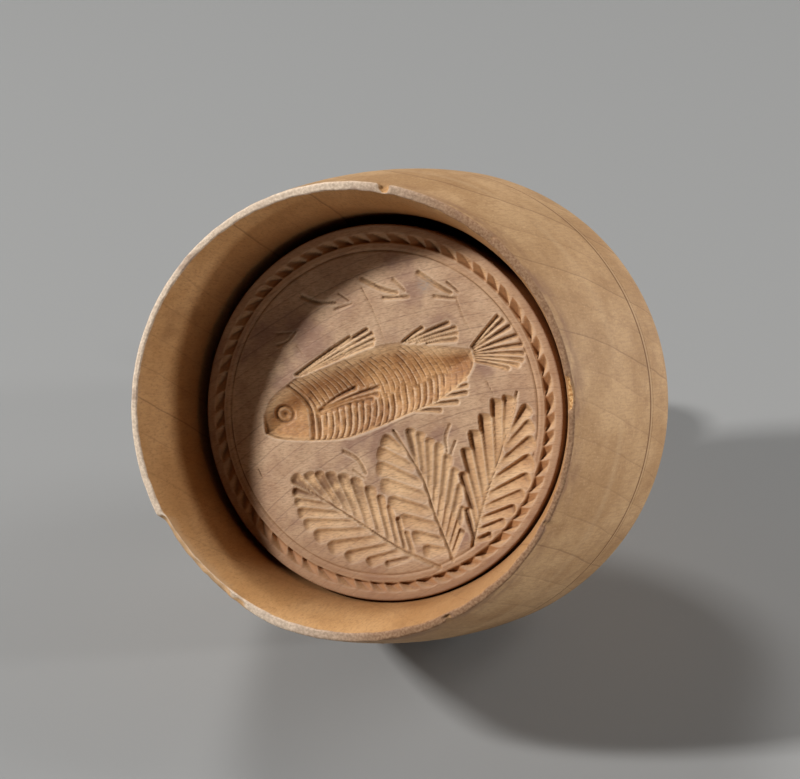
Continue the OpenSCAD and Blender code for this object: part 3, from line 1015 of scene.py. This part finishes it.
def print_wood():
    """The print's wood: a grey-brown field with warmer cuts, dark crevices, light edges and stains."""
    graph = Graph("print_wood")
    at = graph.place(FACE)
    x, y, _ = graph.split(at)
    _, shade, line = growth(graph, at, *PRINT_RINGS)
    along_grain = graph.place(FACE @ Matrix.Rotation(math.radians(18), 4, "Z"))
    grain = graph.noise(along_grain, (0.7, 2.8, 0.3), 3.0, 0.65)
    blotch = graph.noise(at, (0.10, 0.10, 0.07), 4.0, 0.6)
    cloud = graph.noise(at, (0.045, 0.045, 0.05), 4.0, 0.6)
    slanted = graph.place(FACE @ Matrix.Rotation(math.radians(40), 4, "Z"))
    scratch = graph.noise(slanted, (0.22, 3.4, 0.3), 2.0, 0.6)
    grime = graph.noise(at, (0.13, 0.13, 0.12), 3.0, 0.6).between(0.34, 0.62)
    brown_tips = graph.noise(at, (0.28, 0.28, 0.2), 3.0, 0.6).between(0.36, 0.60)
    carved, deep = graph.attribute("carved"), graph.attribute("deep")
    crevice, edge = graph.attribute("crevice"), graph.attribute("edge")
    seen = graph.attribute("stroke_seen")
    stroke = graph.attribute("stroke_count").math("FRACT")
    # Painted shade: a thin dark line along the bottom of each scale stroke
    shaded_groove = stroke.between(0.56, 0.76) * (1 - stroke.between(0.80, 0.86))
    # Painted highlight: a thin light line on each scale stroke's crest
    crest = stroke.between(0.86, 0.93)
    r = away(x, y)
    from_stain = away(x - STAIN_AT[0], y - STAIN_AT[1])
    from_tips = away(x - LEAF_TIPS_STAIN_AND_SHADE[0], (y - LEAF_TIPS_STAIN_AND_SHADE[1]) * 1.8)

    field = graph.mix(blotch.between(0.34, 0.66), *PRINT["field"])
    field = graph.mix(cloud.between(0.49, 0.62) * 0.72, field, PRINT["cloud"])
    shallow_cut = graph.mix(blotch.between(0.35, 0.7), *PRINT["shallow_cut"])
    deep_cut = graph.mix(blotch.between(0.38, 0.62), *PRINT["deep_cut"])
    colour = graph.paint(
        graph.mix(carved, field, graph.mix(deep.between(0.25, 0.75), shallow_cut, deep_cut)),
        (deep * cloud.between(0.42, 0.6) * 0.35, PRINT["cut_cloud"]),
        # Painted shade in the scale strokes' grooves
        (shaded_groove * seen * 0.45, PRINT["shaded_groove"]),
        # Painted highlight on the scale strokes' crests
        (crest * seen * 0.6, PRINT["crest"]),
        (graph.attribute("steep") * 0.8, PRINT["steep"]),
        (grain.between(0.56, 0.30) * 0.50, PRINT["dark_grain"]),
        (grain.between(0.56, 0.76) * 0.35, PRINT["light_grain"]),
        (scratch.between(0.60, 0.74) * 0.28 * (1 - carved * 0.5), PRINT["scratch"]),
        (line * (shade * 0.35 + 0.15) * (1 - carved * 0.5), PRINT["ring"]),
        # Darker in the crevices, where the carving lies deeper than around it: partly dirt, partly
        # painted shade
        (crevice.between(0.1, 1.0) * (0.35 + grime * 0.5), PRINT["crevice"]),
        (edge.between(0.3, 1.0) * 0.4, PRINT["edge"]),
        (r.between(38.5, 43.0) * 0.42, PRINT["border"]),
        (r.between(45.8, 47.5) * 0.45, PRINT["rim"]),
        # Brown at the left leaf's tips: partly a stain, partly painted shade at the ends of the lobes
        (from_tips.between(16.0, 6.0) * brown_tips * carved * 0.8, PRINT["leaf_tips_stain_and_shade"]),
        (y.between(-26.0, -42.0) * 0.45, PRINT["bottom"]),
        (from_stain.between(3.2, 0.6) * grain.between(0.35, 0.6) * 0.55, PRINT["stain"]))
    roughness = 0.50 + grain * 0.2
    height = grain * 0.7 + blotch * 0.3 + scratch * 0.3 + line * -0.3 - shaded_groove * seen * 1.4
    return graph.surface(colour, roughness, height)


def handle_wood():
    """The handle's wood, darker on the knob, where it is held."""
    graph = Graph("handle_wood")
    at = graph.place(MOULD)
    fibre, speck, blotch = turned_noises(graph, at)
    _, shade, line = growth(graph, at, *HANDLE_RINGS)
    z = graph.split(at)[2]
    colour = graph.paint(
        graph.mix(blotch.between(0.36, 0.66), KNOB["pale"], KNOB["tan"]),
        (fibre.between(0.62, 0.3) * 0.35, KNOB["fibre"]),
        (speck.between(0.54, 0.74) * 0.35, KNOB["speck"]),
        (line * (shade * 0.4 + 0.2), KNOB["ring"]),
        (z.between(150.0, 166.0) * blotch.between(0.3, 0.6) * 0.45, KNOB["held"]))
    roughness = 0.46 + fibre * 0.18
    height = fibre * 0.6 + speck * 0.4 + line * -0.3
    return graph.surface(colour, roughness, height)


def plain(name, colour, roughness):
    """A material of one colour and roughness."""
    graph = Graph(name)
    shader = graph.node("ShaderNodeBsdfPrincipled", None,
                        {"Base Color": (*colour, 1), "Roughness": roughness, "Specular IOR Level": 0.2})
    graph.node("ShaderNodeOutputMaterial", None, {"Surface": shader})
    return graph.material


# The object

finished("turned_case", case_mesh(), MOULD, case_wood(), "case", "case")
finished("carved_print", print_mesh(), FACE, print_wood(), "print", "print_disc")
HANDLE = MOULD @ Matrix.Translation((0, DROP, PRINT_DEPTH + PRINT_T))
finished("knobbed_handle", handle_mesh(), HANDLE, handle_wood(), "plunger", "plunger_handle")


# The stage

FLOOR_HALF, FLOOR_GREY = 6.0, (0.30, 0.30, 0.295)


def make_floor():
    """A flat grey floor, much wider than the mould."""
    bm = bmesh.new()
    bmesh.ops.create_grid(bm, x_segments=1, y_segments=1, size=FLOOR_HALF)
    mesh = bpy.data.meshes.new("floor")
    bm.to_mesh(mesh)
    bm.free()
    mesh.materials.append(plain("floor_paper", FLOOR_GREY, 0.9))
    floor = bpy.data.objects.new("floor", mesh)
    bpy.context.scene.collection.objects.link(floor)


def direction(azimuth, elevation):
    """The way towards a place seen at this azimuth and elevation; azimuth 0 is the mouth's side."""
    a, e = math.radians(azimuth), math.radians(elevation)
    return Vector((math.sin(a) * math.cos(e), -math.cos(a) * math.cos(e), math.sin(e)))


# Each lamp: where it stands, how far off, its width, and the light it gives the mould, where 1 lights
# a surface that faces it fully
LAMPS = {
    "key": (-53, 36, 2.4, 0.22, 0.97),
    "rear_left": (-120, 61, 1.6, 0.36, 0.42),
    "rear_right": (130, 10, 1.5, 0.45, 0.46),
    "right": (112, 43, 1.6, 0.50, 0.15),
    "right_low": (86, 15.0, 1.8, 0.09, 0.28),
}
LAMPS_AIM, WORLD_LIGHT = Vector((0, 0, 0.07)), 0.006


def make_light():
    """Square lamps round the mould, and a faint even light from all sides."""
    for name, (azimuth, elevation, distance, width, light) in LAMPS.items():
        data = bpy.data.lights.new(name, "AREA")
        data.size = width
        data.energy = light * math.pi ** 2 * distance ** 2
        lamp = bpy.data.objects.new(name, data)
        lamp.location = LAMPS_AIM + direction(azimuth, elevation) * distance
        lamp.rotation_euler = direction(azimuth, elevation).to_track_quat("Z", "Y").to_euler()
        bpy.context.scene.collection.objects.link(lamp)
    world = bpy.data.worlds.new("studio")
    world.use_nodes = True
    world.node_tree.nodes["Background"].inputs["Color"].default_value = (1, 1, 1, 1)
    world.node_tree.nodes["Background"].inputs["Strength"].default_value = WORLD_LIGHT
    bpy.context.scene.world = world


# The camera: the way it looks from, how far it stands back, to the right and up from the mouth's middle,
# in metres, and its focal length and picture width in pixels
VIEW_AZIMUTH, VIEW_ELEVATION = 19.29, 29.06
VIEW_DISTANCE, VIEW_RIGHT, VIEW_UP = 0.700, 0.012843, 0.005477
FOCAL_PIXELS, PICTURE_WIDTH, SENSOR = 2876.0, 800.0, 36.0


def make_camera():
    """The camera, placed as the photograph's was."""
    back = direction(VIEW_AZIMUTH, VIEW_ELEVATION)
    right = Vector((-back.y, back.x, 0)).normalized()
    up = back.cross(right)
    data = bpy.data.cameras.new("camera")
    data.sensor_width = SENSOR
    data.lens = FOCAL_PIXELS / PICTURE_WIDTH * SENSOR
    data.clip_start, data.clip_end = 0.01, 50
    camera = bpy.data.objects.new("camera", data)
    turned_to = Matrix((right, up, back)).transposed().to_4x4()
    turned_to.translation = (MOULD.translation + back * VIEW_DISTANCE + right * VIEW_RIGHT
                             + up * VIEW_UP)
    camera.matrix_world = turned_to
    bpy.context.scene.collection.objects.link(camera)
    bpy.context.scene.camera = camera


make_floor()
make_light()
make_camera()
bpy.context.scene.view_settings.view_transform = "Standard"
